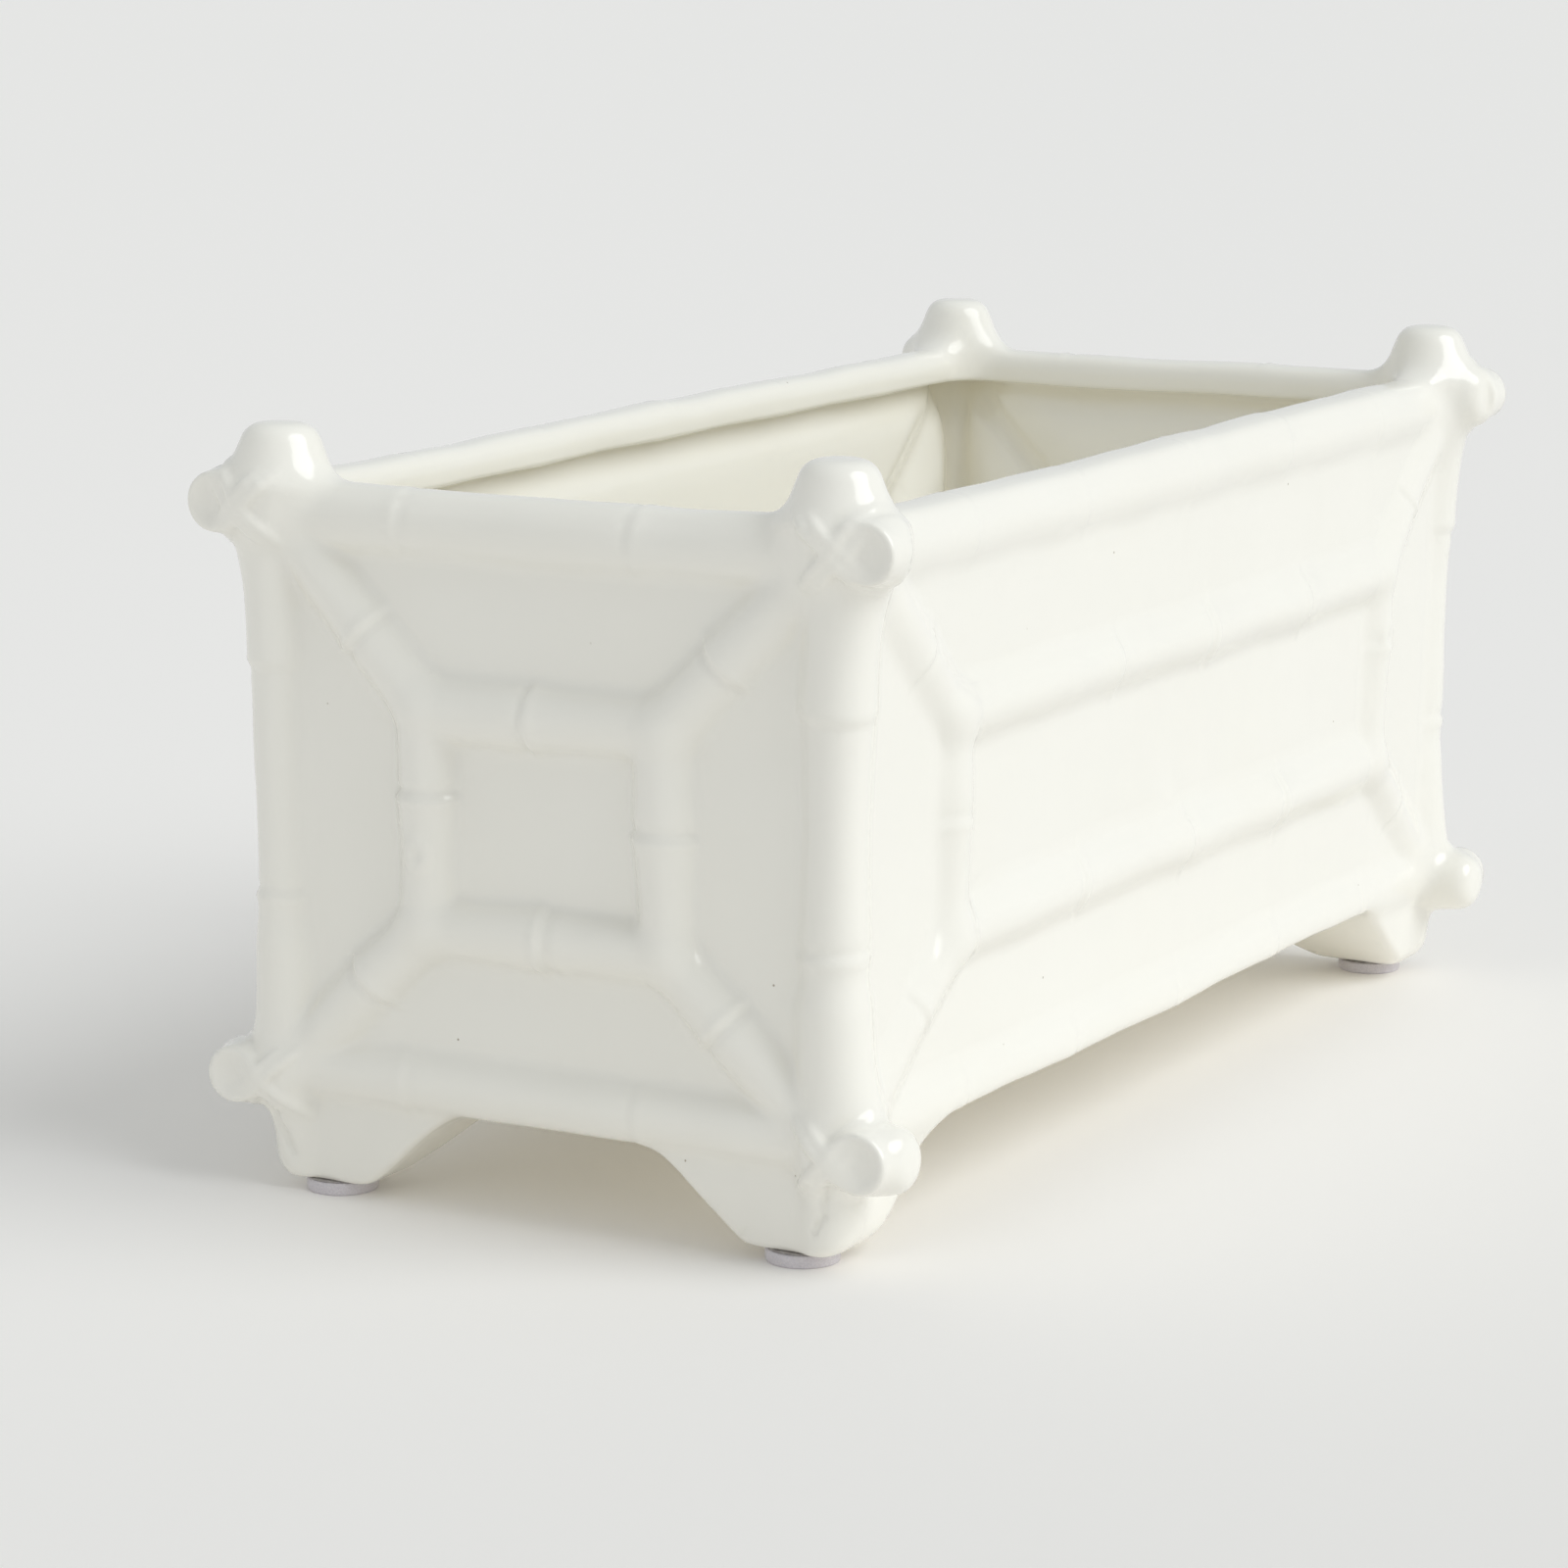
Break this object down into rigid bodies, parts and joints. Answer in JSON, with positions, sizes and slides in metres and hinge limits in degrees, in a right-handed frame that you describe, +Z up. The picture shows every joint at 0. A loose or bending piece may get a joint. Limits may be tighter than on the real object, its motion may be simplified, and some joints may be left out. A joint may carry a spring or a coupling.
{
  "type": "planter box",
  "caption": "Rectangular open-top glazed ceramic planter box with faux-bamboo cane relief, lashed corner joints, corner knobs and bracket feet on felt pads.",
  "frame": {"origin": "middle of the footprint on the standing surface, under the felt pads", "axes": "+X along the length, to the right when a long face is in front; +Y along the depth, to the back; +Z up"},
  "size_m": [0.306, 0.1528, 0.15],
  "materials": {
    "glaze": "gloss",
    "felt": "matte",
    "adhesive": "matte"
  },
  "bodies": {
    "root": {"planter_body": "glaze", "felt_pad_front_left": "felt", "felt_pad_front_right": "felt", "felt_pad_back_left": "felt", "felt_pad_back_right": "felt", "adhesive_disc_front_left": "adhesive", "adhesive_disc_front_right": "adhesive", "adhesive_disc_back_left": "adhesive", "adhesive_disc_back_right": "adhesive"}
  },
  "joints": []
}
